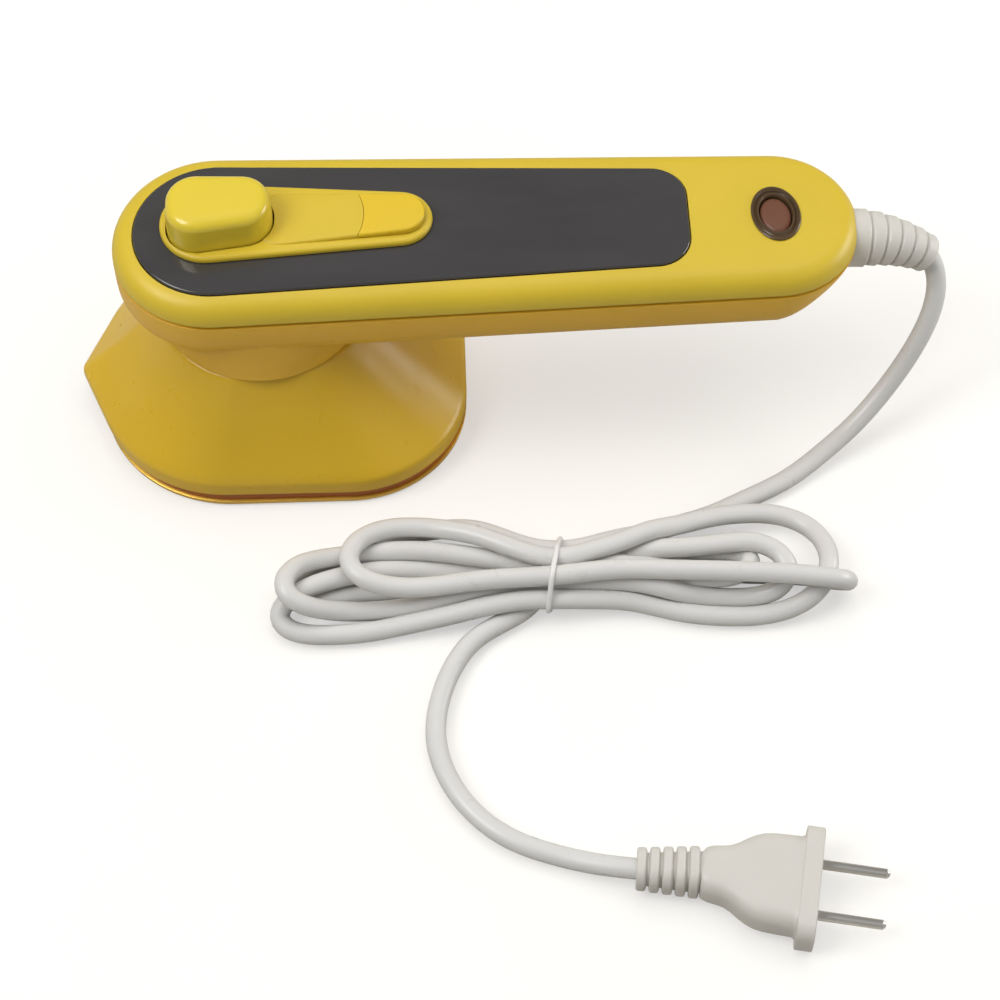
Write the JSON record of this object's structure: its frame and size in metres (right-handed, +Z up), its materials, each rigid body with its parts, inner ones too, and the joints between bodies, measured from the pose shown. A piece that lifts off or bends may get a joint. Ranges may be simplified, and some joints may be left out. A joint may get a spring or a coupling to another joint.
{
  "type": "hand-held steam iron",
  "caption": "Small hand-held steam iron with a flared head that swivels on its handle, a pump button, a hinged filler cap and a tied mains lead with its plug.",
  "frame": {"origin": "where the swivel axis meets the plane that the soleplate rests on", "axes": "+X along the handle towards the lead, +Z up, so the head's nose points to -X"},
  "size_m": [0.2396, 0.222, 0.0813],
  "materials": {
    "yellow_plastic": "satin moulded plastic",
    "orange_plastic": "satin moulded plastic",
    "smoky_window": "polished smoky plastic",
    "insulating_ring": "matt heat-resistant plastic",
    "gold_coating": "gold non-stick coating on cast aluminium",
    "white_cord": "soft flexible sheath",
    "cream_moulding": "soft moulded plastic",
    "nickel": "nickel plate",
    "steel": "zinc-plated steel",
    "brass": "plain brass",
    "black_plastic": "black moulded plastic",
    "lamp_lens": "dark red-brown lens",
    "grey_plastic": "grey moulded plastic",
    "clear_plastic": "clear plastic",
    "circuit_board": "green circuit board",
    "blue_wire": "wire sheath",
    "silicone": "soft silicone hose"
  },
  "bodies": {
    "handle": {"handle_upper_shell": "yellow_plastic", "handle_lower_shell": "yellow_plastic", "control_bezel": "yellow_plastic", "window_panel": "smoky_window", "live_wire": "insulating_ring", "cord_lead": "white_cord", "cord_tail": "white_cord", "cord_hank": "white_cord", "inner_cable": "white_cord", "cord_relief": "cream_moulding", "plug_body": "cream_moulding", "plug_pin_1": "nickel", "plug_pin_2": "nickel", "shell_screw_1": "steel", "shell_screw_2": "steel", "shell_screw_3": "steel", "shell_screw_4": "steel", "pump_screw_1": "steel", "pump_screw_2": "steel", "clamp_screw_1": "steel", "clamp_screw_2": "steel", "button_spring": "steel", "swivel_washer": "steel", "lamp_ring": "black_plastic", "terminal_block": "black_plastic", "lamp_lens": "lamp_lens", "lamp_bulb": "lamp_lens", "pump_body": "grey_plastic", "cord_clamp": "grey_plastic", "water_tank": "clear_plastic", "lamp_board": "circuit_board", "neutral_wire": "blue_wire", "feed_hose": "silicone", "water_hose": "silicone"},
    "head": {"head_skirt": "yellow_plastic", "insulating_ring": "insulating_ring", "soleplate": "gold_coating", "sole_stud_1": "steel", "sole_stud_2": "steel", "sole_stud_3": "steel", "heating_element": "steel", "chamber_cover": "steel", "steam_inlet": "brass", "thermostat": "grey_plastic", "thermal_fuse": "cream_moulding", "element_lead_live": "insulating_ring", "element_lead_neutral": "blue_wire", "swivel_hub": "grey_plastic", "swivel_nut": "grey_plastic", "neck_connector": "black_plastic"},
    "button": {"spray_button": "yellow_plastic", "pump_piston": "grey_plastic"},
    "cap": {"filler_cap": "orange_plastic"}
  },
  "joints": [
    {"name": "neck_swivel", "type": "hinge", "parent": "handle", "child": "head", "pos_m": [0, 0, 0], "axis": [0, 0, -1], "range_deg": [0, 180]},
    {"name": "button_press", "type": "slide", "parent": "handle", "child": "button", "axis": [0, 0, -1], "range_m": [0, 0.0035], "stiffness_N_per_m": 2500, "springref_m": -0.001, "deforming": ["button_spring"]},
    {"name": "filler_hinge", "type": "hinge", "parent": "handle", "child": "cap", "pos_m": [0.024, 0.0008, 0.0727], "axis": [0, -1, 0], "range_deg": [0, 90]}
  ]
}
